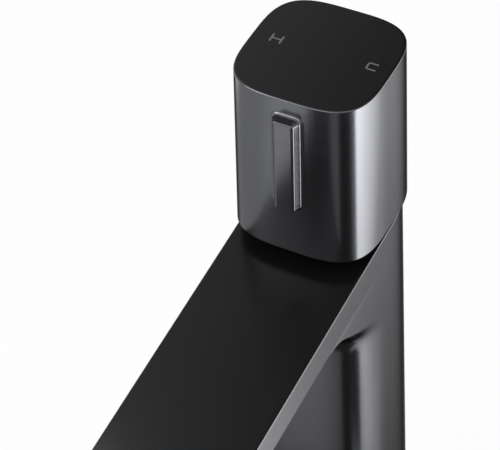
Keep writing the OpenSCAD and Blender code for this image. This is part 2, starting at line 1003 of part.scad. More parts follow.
module clamp_nut() {
    flange_t = 1.6;
    flange_out = 1.2;
    nut_r = nut_flats / 2 / cos(30);
    color(steel)
        translate([0, stud_back, -deck_t - rubber_t - washer_t - nut_h])
            difference() {
                union() {
                    cylinder(r = nut_r, h = nut_h, $fn = 6);
                    translate([0, 0, nut_h - flange_t])
                        cylinder(r = nut_r + flange_out, h = flange_t);
                }
                translate([0, 0, -past])
                    cylinder(r = stud_r + run_clear, h = nut_h + 2 * past);
            }
}

body_casting();
spout_top_plate();
aerator_housing();
aerator_insert();
aerator_seal();
cartridge_shell();
fixed_disc();
port_seals();
shell_seals();
retaining_nut();
guide_collar();
hot_riser();
cold_riser();
riser_seals();
inlet_block();
lock_ring();
base_gasket();
mounting_stud();
mixing_disc();
disc_driver();
stem_seal();
turn_ring();
handle_shell();
handle_top_plate();
direction_marks();
handle_adapter();
handle_screw();
valve_stem();
valve_seal();
rubber_washer();
steel_washer();
clamp_nut();
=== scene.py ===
"""Looks of the basin mixer: smooth metal skins, satin black plates, studio light and camera.

Lengths of the part are in mm, places in the studio in m. The deck is at z = 0, the handle turns
about the z axis and the spout points to -y.
"""

import math

import bmesh
import bpy
import numpy as np
from mathutils import Matrix, Vector


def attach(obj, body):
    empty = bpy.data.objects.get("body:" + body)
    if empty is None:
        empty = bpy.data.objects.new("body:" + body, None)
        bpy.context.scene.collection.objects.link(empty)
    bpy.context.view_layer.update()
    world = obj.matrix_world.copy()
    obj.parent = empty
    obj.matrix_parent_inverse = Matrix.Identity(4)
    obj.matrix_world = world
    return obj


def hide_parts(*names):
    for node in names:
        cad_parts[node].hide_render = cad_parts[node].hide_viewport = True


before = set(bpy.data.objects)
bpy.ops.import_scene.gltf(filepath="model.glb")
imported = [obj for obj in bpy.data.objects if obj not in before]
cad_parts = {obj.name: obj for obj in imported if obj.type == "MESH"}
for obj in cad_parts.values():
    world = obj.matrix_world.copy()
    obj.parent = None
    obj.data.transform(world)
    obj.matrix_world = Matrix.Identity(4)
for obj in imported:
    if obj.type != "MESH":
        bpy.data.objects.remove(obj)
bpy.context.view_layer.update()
scene = bpy.context.scene
MM = 0.001

# heights
OVERALL_H = 208.0
HANDLE_H = 62.3
HANDLE_GAP = 3.7
HANDLE_Z0 = OVERALL_H - HANDLE_H
BODY_TOP = HANDLE_Z0 - HANDLE_GAP
SPOUT_T = 11.75
UNDER_Z = BODY_TOP - SPOUT_T

# rounded squares are superellipses with a short flat in the middle of each side
POWER = 3.5
FLAT = 0.4

# column and spout, with half widths and the spout's slope
COLUMN_HALF_TOP, COLUMN_HALF_BASE = 22.95, 26.3
SLOPE = math.tan(math.radians(3.47))
REACH, TIP_HALF, TIP_R = 145.0, 22.05, 2.5

# the arch under the spout, and how fast the column's round front turns into two edges on it
ARCH_REACH, ARCH_DROP, ARCH_EDGE, CORNER_FADE = 20.5, 28.0, 0.5, 7
ARCH_Z0 = UNDER_Z - ARCH_DROP

# rings of the column: upright ones, then leaning ones that reach the spout's slope at the arch,
# and the arch's own, every 3 degrees and closer at its end
COLUMN_RINGS = (15.0, 30.0, 45.0)
LEAN_H, LEAN_STEPS = 40.0, 8
LEAN_Z0 = ARCH_Z0 - LEAN_H
ARCH_DEGREES = [*range(0, 87, 3), 86, 88, 90]

# rounded edges, and the distance from them to the next ring of a skin
EDGE, UNDER_EDGE, TOP_EDGE, HANDLE_LOWER_EDGE = 0.35, 0.25, 0.3, 0.8
EDGE_STEPS, LOWER_EDGE_STEPS, PLATE_EDGE_STEPS = 4, 7, 3
NEXT_TO_EDGE = 0.15

# black plates in their rims
RIM = 0.45
PLATE_T, PLATE_SINK, PLATE_CLEAR = 1.5, 0.05, 0.06
PLATE_SHY, PLATE_EDGE, PLATE_FIELD = 0.02, 0.12, 0.3

# handle and its hollow, and the tiny ring in which its flat floors end
HANDLE_HALF_TOP, HANDLE_HALF_BASE = 23.0, 24.25
BORE_R, HANDLE_WEB = 19.0, 8.2
HOLLOW_TOP = OVERALL_H - PLATE_T - PLATE_SINK - HANDLE_WEB
CENTRE_R = 0.02
# rings of its sides: over the lower edge, under the rib's hole and below the top edge
RINGS_UP, RING_UNDER_HOLE, RINGS_DOWN = (3.0, 8.0), 3.0, (0.6, 0.1)

# finger rib: its long sides have softer edges and more draft than its ends
RIB_DROP, RIB_LEN, RIB_HALF, RIB_OUT, RIB_CORNER, RIB_ROOT = 6.4, 35.2, 3.5, 3.1, 1.1, 1.1
RIB_EDGE_SIDE, RIB_EDGE_END = 0.9, 0.25
RIB_DRAFT_SIDE, RIB_DRAFT_END = 0.75, 0.4
RIB_TOP = OVERALL_H - RIB_DROP
RIB_LOW = RIB_TOP - RIB_LEN
RIB_MIDDLE = (RIB_TOP + RIB_LOW) / 2
ROOT_LAP, FACE_LAP, ROUND_STEPS, LEAST_CORNER = 0.5, 0.1, 6, 0.05

# the rib stands in a hole of the front skin, with so many columns, rows and steps on a corner
HOLE_COLS, HOLE_ROWS, CORNER_STEPS = 17, 28, 5
HOLE_ABOVE, HOLE_BELOW = 4.2, 5.0

# the hole's sides, anticlockwise from the lower left corner: the way along each and out of it
HOLE_SIDES = {
    "low": ((1, 0), (0, -1)),
    "right": ((0, 1), (1, 0)),
    "top": ((-1, 0), (0, 1)),
    "left": ((0, -1), (-1, 0)),
}
HOLE_ENDS = ("low", "top")

# marks H and C
MARK_Y, MARK_T = 1.15, 0.3
H_MIDDLE, H_WIDTH, H_HEIGHT, H_STROKE, H_BAR = -15.1, 3.9, 3.5, 0.62, 0.55
C_MIDDLE, C_WIDTH, C_HALF, C_STROKE, C_ROUND, C_STEPS = 16.32, 3.38, 1.63, 0.55, 0.85, 8

# neck inside the handle, and the cartridge's bore in it
NECK_R, NECK_BASE_R, COLLAR_INSET, NECK_ROOM, NECK_SINK = 16.0, 17.0, 4.5, 26.0, 1.5
NECK_TOP = HOLLOW_TOP - NECK_ROOM
COLLAR_Z0 = HANDLE_Z0 + COLLAR_INSET
CARTRIDGE_R, CARTRIDGE_DROP = 13.0, 18.0
CARTRIDGE_FLOOR = UNDER_Z - CARTRIDGE_DROP

# hollow column, foot and outlet
HOLLOW_R, HOLLOW_ROOF_T, HOLLOW_CENTRE_R = 18.3, 8.0, 0.001
HOLLOW_Z = CARTRIDGE_FLOOR - HOLLOW_ROOF_T
FOOT_R, BLOCK_TOP = 21.0, 26.0
GASKET_IN, GASKET_OUT, GASKET_H = 21.95, 23.85, 1.6
OUTLET_INSET, OUTLET_R, OUTLET_DEEP = 19.0, 9.0, 5.6
OUTLET_Y = OUTLET_INSET - REACH
OUTLET_STEPS, NECK_STEPS = 72, 96

# stud below the deck
STUD_BACK, STUD_PITCH, THREAD_DEEP = 13.5, 1.25, 0.22

# points that lie closer than this are one, in a finished mesh (m) and in an outline (mm)
MERGE_M, SAME_MM = 1e-7, 2e-3

# what the noise textures mostly stay between
NOISE_LOW, NOISE_HIGH = 0.3, 0.7
# gloss near the edge of view: how far turned away it starts and ends to fall, and its levels
EDGE_GLOSS = (0.68, 0.82, 1.0, 0.2)


# shader values

class Value:
    """An output of a shader node. Operators join values and numbers with math nodes."""

    def __init__(self, tree, socket):
        self.tree = tree
        self.socket = socket

    def feed(self, socket):
        self.tree.links.new(self.socket, socket)

    def __add__(self, other):
        return calc("ADD", self, other)

    def __sub__(self, other):
        return calc("SUBTRACT", self, other)

    def __rsub__(self, other):
        return calc("SUBTRACT", other, self)

    def __mul__(self, other):
        return calc("MULTIPLY", self, other)

    def __truediv__(self, other):
        return calc("DIVIDE", self, other)

    def at_least(self, other):
        return calc("MAXIMUM", self, other)

    def at_most(self, other):
        return calc("MINIMUM", self, other)

    def ramp(self, x0, x1, y0, y1, kind="SMOOTHSTEP"):
        """Goes from y0 to y1 as the value goes from x0 to x1, and stays there."""
        node = self.tree.nodes.new("ShaderNodeMapRange")
        node.interpolation_type = kind
        for key, number in (("From Min", x0), ("From Max", x1), ("To Min", y0), ("To Max", y1)):
            node.inputs[key].default_value = number
        self.feed(node.inputs["Value"])
        return Value(self.tree, node.outputs["Result"])

    def bell(self, middle, width):
        """Falls off from 1 on both sides of a middle."""
        share = (self - middle) / width
        return exponential(share * share * -1.0)


def calc(kind, a, b=None):
    """A math node over one or two terms, each a value or a number."""
    tree = a.tree if isinstance(a, Value) else b.tree
    node = tree.nodes.new("ShaderNodeMath")
    node.operation = kind
    for socket, term in zip(node.inputs, (a, b)):
        if isinstance(term, Value):
            term.feed(socket)
        elif term is not None:
            socket.default_value = term
    return Value(tree, node.outputs[0])


def exponential(value):
    return calc("POWER", math.e, value)


def place_in(tree):
    """The three coordinates of the shaded place, in m."""
    geometry = tree.nodes.new("ShaderNodeNewGeometry")
    split = tree.nodes.new("ShaderNodeSeparateXYZ")
    tree.links.new(geometry.outputs["Position"], split.inputs[0])
    return [Value(tree, split.outputs[axis]) for axis in "XYZ"]


# materials

def new_material(name):
    """A new material, its node tree and its Principled shader."""
    material = bpy.data.materials.new(name)
    material.use_nodes = True
    return material, material.node_tree, material.node_tree.nodes["Principled BSDF"]


def noise(tree, scale, stretch=(1, 1, 1), detail=3.0, rough=0.55):
    place = tree.nodes.new("ShaderNodeTexCoord")
    mapping = tree.nodes.new("ShaderNodeMapping")
    mapping.inputs["Scale"].default_value = stretch
    texture = tree.nodes.new("ShaderNodeTexNoise")
    texture.inputs["Scale"].default_value = scale
    texture.inputs["Detail"].default_value = detail
    texture.inputs["Roughness"].default_value = rough
    tree.links.new(place.outputs["Object"], mapping.inputs["Vector"])
    tree.links.new(mapping.outputs["Vector"], texture.inputs["Vector"])
    return Value(tree, texture.outputs["Fac"])


def spread(grain, low, high):
    """Noise spread over a range."""
    return grain.ramp(NOISE_LOW, NOISE_HIGH, low, high, "LINEAR")


def tint(grain, low, high):
    """Noise as a colour between two colours."""
    node = grain.tree.nodes.new("ShaderNodeMix")
    node.data_type = "RGBA"
    node.inputs["A"].default_value = (*low, 1)
    node.inputs["B"].default_value = (*high, 1)
    spread(grain, 0.0, 1.0).feed(node.inputs["Factor"])
    return Value(grain.tree, node.outputs["Result"])


def bump(height, strength, distance):
    node = height.tree.nodes.new("ShaderNodeBump")
    node.inputs["Strength"].default_value = strength
    node.inputs["Distance"].default_value = distance
    height.feed(node.inputs["Height"])
    return Value(height.tree, node.outputs["Normal"])


def grained(bsdf, colours, rough, broad, fine, strength, distance):
    """Colour from a broad noise, roughness and bump from a fine one."""
    tint(broad, *colours).feed(bsdf.inputs["Base Color"])
    spread(fine, *rough).feed(bsdf.inputs["Roughness"])
    bump(fine, strength, distance).feed(bsdf.inputs["Normal"])


def metal(name, *colours, rough):
    """Metal with an upright brushed grain."""
    material, tree, bsdf = new_material(name)
    bsdf.inputs["Metallic"].default_value = 1.0
    broad = noise(tree, 9.0, detail=2.0)
    fine = noise(tree, 60.0, stretch=(1, 1, 40), detail=4.0, rough=0.65)
    grained(bsdf, colours, rough, broad, fine, strength=0.05, distance=0.00002)
    return material


def plain(name, *colours, rough, grain, strength, distance=0.00001):
    """Plastic, rubber, ceramic or print with an even grain."""
    material, tree, bsdf = new_material(name)
    broad = noise(tree, 14.0)
    grained(bsdf, colours, rough, broad, noise(tree, grain), strength, distance)
    return material


def threaded(material, axis_y):
    """Adds the shading of the stud's thread round its upright axis, which lies at axis_y."""
    tree = material.node_tree
    x, y, z = place_in(tree)
    turn = calc("ARCTAN2", y - axis_y * MM, x)
    wave = calc("SINE", z * (2 * math.pi / (STUD_PITCH * MM)) - turn)
    bump(wave, 1.0, THREAD_DEEP * MM).feed(tree.nodes["Principled BSDF"].inputs["Normal"])
    return material


def softer_edge(material):
    """Holds the gloss down where a surface is seen almost edge on, so that it stays apart from
    the backdrop."""
    tree = material.node_tree
    weight = tree.nodes.new("ShaderNodeLayerWeight")
    weight.inputs["Blend"].default_value = 0.5
    level = Value(tree, weight.outputs["Facing"]).ramp(*EDGE_GLOSS, "LINEAR")
    level.feed(tree.nodes["Principled BSDF"].inputs["Specular Tint"])
    return material


GUNMETAL = metal(
    "gunmetal_satin", (0.096, 0.098, 0.105), (0.104, 0.106, 0.115), rough=(0.20, 0.25)
)
STUD_STEEL = metal("cut_thread", (0.46, 0.47, 0.48), (0.54, 0.55, 0.56), rough=(0.24, 0.34))
MATERIALS = {
    "gunmetal": softer_edge(GUNMETAL),
    "black_plate": plain(
        "black_inlay", (0.0030, 0.0030, 0.0032), (0.0040, 0.0040, 0.0043),
        rough=(0.20, 0.25), grain=2500.0, strength=0.10,
    ),
    "grey_mark": plain(
        "grey_print", (0.105, 0.105, 0.105), (0.120, 0.120, 0.120),
        rough=(0.5, 0.6), grain=3000.0, strength=0.1,
    ),
    "steel": metal("turned_steel", (0.50, 0.51, 0.52), (0.58, 0.59, 0.60), rough=(0.26, 0.36)),
    "steel_thread": threaded(STUD_STEEL, STUD_BACK),
    "pale_plastic": plain(
        "moulded_plastic", (0.66, 0.67, 0.64), (0.74, 0.75, 0.72),
        rough=(0.38, 0.50), grain=1500.0, strength=0.1, distance=0.00002,
    ),
    "black_nylon": plain(
        "black_nylon", (0.020, 0.020, 0.021), (0.030, 0.030, 0.031),
        rough=(0.45, 0.58), grain=1800.0, strength=0.15, distance=0.00002,
    ),
    "brass": metal("machined_brass", (0.60, 0.42, 0.17), (0.70, 0.51, 0.24), rough=(0.24, 0.34)),
    "ceramic": plain(
        "lapped_ceramic", (0.80, 0.79, 0.76), (0.87, 0.86, 0.83),
        rough=(0.18, 0.26), grain=1200.0, strength=0.05,
    ),
    "copper": metal("drawn_copper", (0.66, 0.34, 0.21), (0.76, 0.42, 0.28), rough=(0.26, 0.36)),
    "rubber": plain(
        "moulded_rubber", (0.016, 0.016, 0.017), (0.026, 0.026, 0.027),
        rough=(0.62, 0.76), grain=1400.0, strength=0.2, distance=0.00003,
    ),
}

SLOT_OF = {
    "gunmetal": ["body_casting", "handle_shell"],
    "black_plate": ["spout_top_plate", "handle_top_plate"],
    "grey_mark": ["direction_marks"],
    "steel": ["aerator_housing", "lock_ring", "handle_screw", "steel_washer", "clamp_nut"],
    "steel_thread": ["mounting_stud"],
    "pale_plastic": ["aerator_insert", "disc_driver", "handle_adapter"],
    "black_nylon": ["guide_collar", "turn_ring"],
    "brass": ["cartridge_shell", "retaining_nut", "inlet_block", "valve_stem"],
    "ceramic": ["fixed_disc", "mixing_disc"],
    "copper": ["hot_riser", "cold_riser"],
    "rubber": [
        "aerator_seal", "port_seals", "shell_seals", "riser_seals", "base_gasket", "stem_seal",
        "valve_seal", "rubber_washer",
    ],
}
for slot_name, members in SLOT_OF.items():
    for member in members:
        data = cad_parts[member].data
        data.materials.clear()
        data.materials.append(MATERIALS[slot_name])


# mesh helpers

def make_piece(name, verts, faces, body, slot, sharp=40):
    """A piece of the part from points in mm. Edges of more than sharp degrees stay sharp."""
    mesh = bpy.data.meshes.new(name)
    mesh.from_pydata([tuple(c * MM for c in v) for v in verts], [], faces)
    bm = bmesh.new()
    bm.from_mesh(mesh)
    bmesh.ops.remove_doubles(bm, verts=bm.verts, dist=MERGE_M)
    bmesh.ops.recalc_face_normals(bm, faces=bm.faces)
    bm.to_mesh(mesh)
    bm.free()
    mesh.polygons.foreach_set("use_smooth", [True] * len(mesh.polygons))
    mesh.set_sharp_from_angle(angle=math.radians(sharp))
    mesh.materials.append(MATERIALS[slot])
    obj = bpy.data.objects.new(name, mesh)
    scene.collection.objects.link(obj)
    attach(obj, body)
    return obj


def mix(a, b, share):
    return a + (b - a) * share


def bulge(v, power):
    """A cosine or sine turned into a superellipse's coordinate."""
    return math.copysign(abs(v) ** (2 / power), v)


def quarter_angles(side_share=0.4, side_steps=9, corner_steps=26):
    """Angles of one quarter, evenly spaced on the middle of each side and round the corner."""
    side = [math.asin((side_share * i / side_steps) ** (POWER / 2)) for i in range(side_steps)]
    edge = math.asin(side_share ** (POWER / 2))
    turn = math.pi / 2 - 2 * edge
    corner = [edge + turn * i / corner_steps for i in range(corner_steps + 1)]
    return side + corner + [math.pi / 2 - a for a in reversed(side)]


ANGLES = quarter_angles()


def quarter(x, y, radius, power, turns):
    """A quarter of a superellipse round (x, y), after so many quarter turns."""
    out = []
    for angle in ANGLES:
        a = turns * math.pi / 2 + angle
        out.append((x + radius * bulge(math.cos(a), power), y + radius * bulge(math.sin(a), power)))
    return out


def back_quarters(half):
    """The two quarters of a rounded square that lie behind the handle's axis."""
    return (
        quarter(FLAT, FLAT, half - FLAT, POWER, 0) + quarter(-FLAT, FLAT, half - FLAT, POWER, 1)
    )


def rounded_square(half):
    return (
        back_quarters(half)
        + quarter(-FLAT, -FLAT, half - FLAT, POWER, 2)
        + quarter(FLAT, -FLAT, half - FLAT, POWER, 3)
    )


def unit_circle(steps):
    turns = [2 * math.pi * i / steps for i in range(steps)]
    return [(math.cos(a), math.sin(a)) for a in turns]


def lifted(points, z, lean=0.0):
    """An outline at a height, tilted like the spout where lean is 1."""
    return [(x, y, z + lean * SLOPE * y) for x, y in points]


def circle_like(points, r, z, lean=0.0):
    """A circle with one point for each point of an outline, at the same polar angle."""
    angles = [math.atan2(y, x) for x, y in points]
    return lifted([(r * math.cos(a), r * math.sin(a)) for a in angles], z, lean)


def bridge(rings, close=False):
    """Vertices and quads that join equal rings in a row."""
    n = len(rings[0])
    verts = [p for ring in rings for p in ring]
    faces = []
    last = len(rings) if close else len(rings) - 1
    for i in range(last):
        a, b = i * n, ((i + 1) % len(rings)) * n
        for j in range(n):
            k = (j + 1) % n
            faces.append((a + j, b + j, b + k, a + k))
    return verts, faces


def cap(verts, faces, start, n):
    """Closes the ring that begins at vertex start with a fan."""
    ring = verts[start : start + n]
    verts.append(tuple(sum(p[i] for p in ring) / n for i in range(3)))
    faces.extend((start + j, start + (j + 1) % n, len(verts) - 1) for j in range(n))


def round_steps(r, steps):
    """Inset and rise of a quarter round, from its flat end to its wall end."""
    angles = [math.pi / 2 * i / steps for i in range(steps + 1)]
    return [(r * (1 - math.sin(a)), r * (1 - math.cos(a))) for a in angles]


# handle

def handle_half(z):
    return mix(HANDLE_HALF_BASE, HANDLE_HALF_TOP, (z - HANDLE_Z0) / HANDLE_H)


def handle_front(x, z):
    """The y of the handle's front face at x, without the rib."""
    c = handle_half(z) - FLAT
    t = max(0.0, abs(x) - FLAT) / c
    return -(FLAT + c * (1 - t**POWER) ** (1 / POWER))


def handle_rows():
    """Height and inset of each ring of the outer skin, and the rings where the hole for the rib
    begins and ends."""
    low, top = RIB_LOW - HOLE_BELOW, RIB_TOP + HOLE_ABOVE
    lower_edge = round_steps(HANDLE_LOWER_EDGE, LOWER_EDGE_STEPS)
    rows = [(HANDLE_Z0 + rise, inset) for inset, rise in lower_edge]
    rows += [(HANDLE_Z0 + up, 0.0) for up in (HANDLE_LOWER_EDGE + NEXT_TO_EDGE, *RINGS_UP)]
    rows.append((low - RING_UNDER_HOLE, 0.0))
    first = len(rows)
    rows += [(mix(low, top, i / HOLE_ROWS), 0.0) for i in range(HOLE_ROWS + 1)]
    last = len(rows) - 1
    rows += [(OVERALL_H - EDGE - down, 0.0) for down in RINGS_DOWN]
    top_edge = reversed(round_steps(EDGE, EDGE_STEPS))
    rows += [(OVERALL_H - rise, inset) for inset, rise in top_edge]
    return rows, first, last


def side_count(side):
    return HOLE_COLS if side in HOLE_ENDS else HOLE_ROWS


def side_place(side, i):
    """Where place i of a side lies: its place on the straight part, from -1 to 1, and its angle
    on the corners."""
    n = side_count(side)
    if i < CORNER_STEPS:
        return -1.0, -math.pi / 4 * (CORNER_STEPS - i) / CORNER_STEPS
    if i > n - CORNER_STEPS:
        return 1.0, math.pi / 4 * (i - (n - CORNER_STEPS)) / CORNER_STEPS
    return (i - CORNER_STEPS) / (n - 2 * CORNER_STEPS) * 2 - 1, 0.0


def rib_point(side, i, grow):
    """x and z of place i on a side of the rib's outline, grown by a distance."""
    along, out = HOLE_SIDES[side]
    r = max(LEAST_CORNER, RIB_CORNER + grow)
    straight = (RIB_HALF + grow - r, RIB_LEN / 2 + grow - r)
    near, far = straight if side in HOLE_ENDS else reversed(straight)
    share, a = side_place(side, i)
    u = share * near + math.sin(a) * r
    v = far + math.cos(a) * r
    return u * along[0] + v * out[0], RIB_MIDDLE + u * along[1] + v * out[1]


def rib_profile(side, i):
    """Outward growth and height of the rib's wall at a place, from its root to its face."""
    _, a = side_place(side, i)
    sideways = abs(math.sin(a)) if side in HOLE_ENDS else math.cos(a)
    edge_r = mix(RIB_EDGE_END, RIB_EDGE_SIDE, sideways**2)
    draft = mix(RIB_DRAFT_END, RIB_DRAFT_SIDE, sideways**2)
    angles = [math.pi / 2 * k / ROUND_STEPS for k in range(ROUND_STEPS + 1)]
    root = [
        (draft + RIB_ROOT * (1 - math.sin(t)), RIB_ROOT * (1 - math.cos(t))) for t in angles
    ]
    edge = [(edge_r * (math.cos(t) - 1), RIB_OUT + edge_r * (math.sin(t) - 1)) for t in angles]
    lap = (draft + RIB_ROOT + ROOT_LAP, 0.0)
    return [lap, *root, *edge, (-RIB_EDGE_SIDE - FACE_LAP, RIB_OUT)]


def fill_rib_face(verts, faces, inner):
    """The rib's outer face: a patch spanned between the four sides of the last loop."""
    cols, rows = HOLE_COLS, HOLE_ROWS
    low = inner[: cols + 1]
    right = inner[cols : cols + rows + 1]
    top = inner[cols + rows : 2 * cols + rows + 1][::-1]
    left = (inner[2 * cols + rows :] + inner[:1])[::-1]
    grid = [[None] * (cols + 1) for _ in range(rows + 1)]
    for c in range(cols + 1):
        grid[0][c], grid[rows][c] = low[c], top[c]
    for r in range(rows + 1):
        grid[r][0], grid[r][cols] = left[r], right[r]

    def flat(k):
        return np.array((verts[k][0], verts[k][2]))

    for r in range(1, rows):
        for c in range(1, cols):
            u, v = c / cols, r / rows
            x, z = (
                (1 - v) * flat(low[c]) + v * flat(top[c])
                + (1 - u) * flat(left[r]) + u * flat(right[r])
                - (1 - u) * (1 - v) * flat(low[0]) - u * (1 - v) * flat(low[cols])
                - (1 - u) * v * flat(top[0]) - u * v * flat(top[cols])
            )
            grid[r][c] = len(verts)
            verts.append((x, handle_front(x, z) - RIB_OUT, z))
    for r in range(rows):
        for c in range(cols):
            faces.append((grid[r][c], grid[r][c + 1], grid[r + 1][c + 1], grid[r + 1][c]))


def build_handle():
    """Hollow, sides and recessed top as one skin, with the rib in a hole of its front."""
    rows, first, last = handle_rows()
    base = rounded_square(HANDLE_HALF_BASE - HANDLE_LOWER_EDGE)
    top = rounded_square(HANDLE_HALF_TOP - RIM)
    floor_z = OVERALL_H - PLATE_T - PLATE_SINK
    hollow = [
        circle_like(base, CENTRE_R, HOLLOW_TOP),
        circle_like(base, BORE_R, HOLLOW_TOP),
        circle_like(base, BORE_R, HANDLE_Z0),
    ]
    sides = [lifted(rounded_square(handle_half(z) - inset), z) for z, inset in rows]
    recess = [lifted(top, OVERALL_H), lifted(top, floor_z), circle_like(top, CENTRE_R, floor_z)]
    verts, faces = bridge(hollow + sides + recess)

    # the hole, and its border with the side and place of each vertex
    n = len(base)
    row0, row1 = len(hollow) + first, len(hollow) + last
    col0 = 3 * len(ANGLES) - 1 - HOLE_COLS // 2
    col1 = col0 + HOLE_COLS
    faces = [f for f in faces if not (row0 <= f[0] // n < row1 and col0 <= f[0] % n < col1)]
    border, places = [], []
    row, col = row0, col0
    for side, (along, _) in HOLE_SIDES.items():
        for i in range(side_count(side)):
            border.append(row * n + col)
            places.append((side, i))
            col += along[0]
            row += along[1]

    # the rib's walls, loop by loop
    loops = [border]
    for steps in zip(*(rib_profile(*place) for place in places)):
        start = len(verts)
        for place, (grow, out) in zip(places, steps):
            x, z = rib_point(*place, grow)
            verts.append((x, handle_front(x, z) - out, z))
        loops.append(list(range(start, len(verts))))
    for a, b in zip(loops, loops[1:]):
        for j in range(len(border)):
            k = (j + 1) % len(border)
            faces.append((a[j], a[k], b[k], b[j]))
    fill_rib_face(verts, faces, loops[-1])
    piece = make_piece("handle_skin", verts, faces, "handle", "gunmetal")
    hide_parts("handle_shell")
    return piece


# body

# places on each side of the body, from the back to the arch's end and from there to the tip
SIDE_NEAR, SIDE_FAR = 8, 8
# length over which an edge's rounding grows in front of the arch
ROUNDING_FADE = 6.0


def column_half(z):
    return mix(COLUMN_HALF_BASE, COLUMN_HALF_TOP, z / BODY_TOP)


def under_half(y):
    """Half width of the spout's underside at y."""
    return mix(column_half(UNDER_Z), TIP_HALF, (FLAT - y) / (FLAT + REACH - TIP_R))


def body_ring(
    back_half, front_half, reach, corner, power, z, lean, arch_end=None, free_inset=0.0
):
    """Outline of the body: a round back, straight sides with places on them, and a front with two
    corners. free_inset draws in only what lies in front of the arch's end."""
    end = -(reach - corner)
    split = end if arch_end is None else arch_end
    near = [mix(FLAT, split, (i + 1) / SIDE_NEAR) for i in range(SIDE_NEAR)]
    far = [mix(split, end, ((i + 1) / (SIDE_FAR + 1)) ** 2) for i in range(SIDE_FAR)]
    ys = near + far
    xs = [mix(back_half, front_half, (FLAT - y) / (FLAT - end)) for y in ys]
    if free_inset:
        fade = [min(1.0, max(0.0, (split - y) / ROUNDING_FADE)) for y in ys]
        xs = [x - free_inset * f * f * (3 - 2 * f) for x, f in zip(xs, fade)]
        front_half -= free_inset
        reach -= free_inset
    left = [(-x, y) for x, y in zip(xs, ys)]
    front = (
        quarter(-(front_half - corner), -(reach - corner), corner, power, 2)
        + quarter(front_half - corner, -(reach - corner), corner, power, 3)
    )
    right = [(-x, y) for x, y in reversed(left)]
    return lifted(back_quarters(back_half) + left + front + right, z, lean)


def column_ring(z, inset=0.0, lean=0.0):
    half = column_half(z) - inset
    return body_ring(half, half, half, half - FLAT, POWER, z, lean)


def arch_front(turn):
    """Share, height, half width, reach, corner radius and corner power at an angle of the arch."""
    share = 1 - math.cos(turn)
    z = ARCH_Z0 + ARCH_DROP * math.sin(turn)
    keep = (1 - share) ** CORNER_FADE
    half = column_half(z)
    corner = mix(ARCH_EDGE, half - FLAT, keep)
    return share, z, half, half + ARCH_REACH * share, corner, mix(2, POWER, keep)


def arch_ring(turn):
    share, z, half, reach, corner, power = arch_front(turn)
    front_half = mix(half, under_half(-(reach - corner)), share)
    return body_ring(half, front_half, reach, corner, power, z, 1)


def spout_ring(z, inset=0.0, free_inset=0.0):
    _, _, _, reach, corner, _ = arch_front(math.pi / 2)
    arch_end = -(reach - corner)
    back_half = column_half(z) - inset
    return body_ring(
        back_half, TIP_HALF - inset, REACH - inset, TIP_R, 2, z, 1, arch_end, free_inset
    )


def column_rings():
    """Rings from the foot to the end of the arch. They lean more and more below the arch."""
    rings = [column_ring(rise, inset) for inset, rise in round_steps(EDGE, EDGE_STEPS)]
    rings += [column_ring(z) for z in (EDGE + NEXT_TO_EDGE, *COLUMN_RINGS)]
    for share in (i / LEAN_STEPS for i in range(LEAN_STEPS)):
        rings.append(column_ring(mix(LEAN_Z0, ARCH_Z0, share), 0.0, share))
    return rings + [arch_ring(math.radians(a)) for a in ARCH_DEGREES]


def spout_rings():
    """Rings from the spout's underside over its side to its top edge."""
    rings = [spout_ring(UNDER_Z, 0, UNDER_EDGE + NEXT_TO_EDGE)]
    under = round_steps(UNDER_EDGE, EDGE_STEPS)
    rings += [spout_ring(UNDER_Z + rise, 0, inset) for inset, rise in under]
    rings += [spout_ring(UNDER_Z + EDGE + NEXT_TO_EDGE), spout_ring(BODY_TOP - EDGE - NEXT_TO_EDGE)]
    top = reversed(round_steps(TOP_EDGE, EDGE_STEPS))
    return rings + [spout_ring(BODY_TOP - rise, inset) for inset, rise in top]


def fill_underside(verts, faces, border):
    """The spout's underside: a flat field inside the border, with the outlet's recess in it."""
    hole = len(verts)
    steps = OUTLET_STEPS
    outlet = [(OUTLET_R * x, OUTLET_Y + OUTLET_R * y) for x, y in unit_circle(steps)]
    for depth in (0.0, OUTLET_DEEP):
        verts += lifted(outlet, UNDER_Z + depth, 1)
    for i in range(steps):
        k = (i + 1) % steps
        faces.append((hole + i, hole + k, hole + steps + k, hole + steps + i))
    cap(verts, faces, hole + steps, steps)

    def same(p, r):
        return (Vector(verts[p]) - Vector(verts[r])).length < SAME_MM

    outer = []
    for k in border:
        if not outer or not same(outer[-1], k):
            outer.append(k)
    while same(outer[-1], outer[0]):
        outer.pop()
    inner = list(range(hole, hole + steps))
    bm = bmesh.new()
    made = {k: bm.verts.new(verts[k]) for k in outer + inner}
    edges = []
    for ring in (outer, inner):
        for p, r in zip(ring, ring[1:] + ring[:1]):
            edges.append(bm.edges.new((made[p], made[r])))
    bmesh.ops.triangle_fill(bm, use_beauty=True, use_dissolve=False, edges=edges)
    index_of = {vert: k for k, vert in made.items()}
    faces += [tuple(index_of[vert] for vert in face.verts) for face in bm.faces]
    bm.free()


def add_neck(verts, faces, floor):
    """The neck inside the handle, with the cartridge's bore."""
    around = unit_circle(NECK_STEPS)
    rings = [
        circle_like(around, NECK_BASE_R, floor - NECK_SINK),
        circle_like(around, NECK_BASE_R, COLLAR_Z0),
        circle_like(around, NECK_R, COLLAR_Z0),
        circle_like(around, NECK_R, NECK_TOP),
        circle_like(around, CARTRIDGE_R, NECK_TOP),
        circle_like(around, CARTRIDGE_R, CARTRIDGE_FLOOR),
    ]
    neck_verts, neck_faces = bridge(rings)
    cap(neck_verts, neck_faces, (len(rings) - 1) * NECK_STEPS, NECK_STEPS)
    shift = len(verts)
    verts += neck_verts
    faces += [tuple(shift + k for k in face) for face in neck_faces]


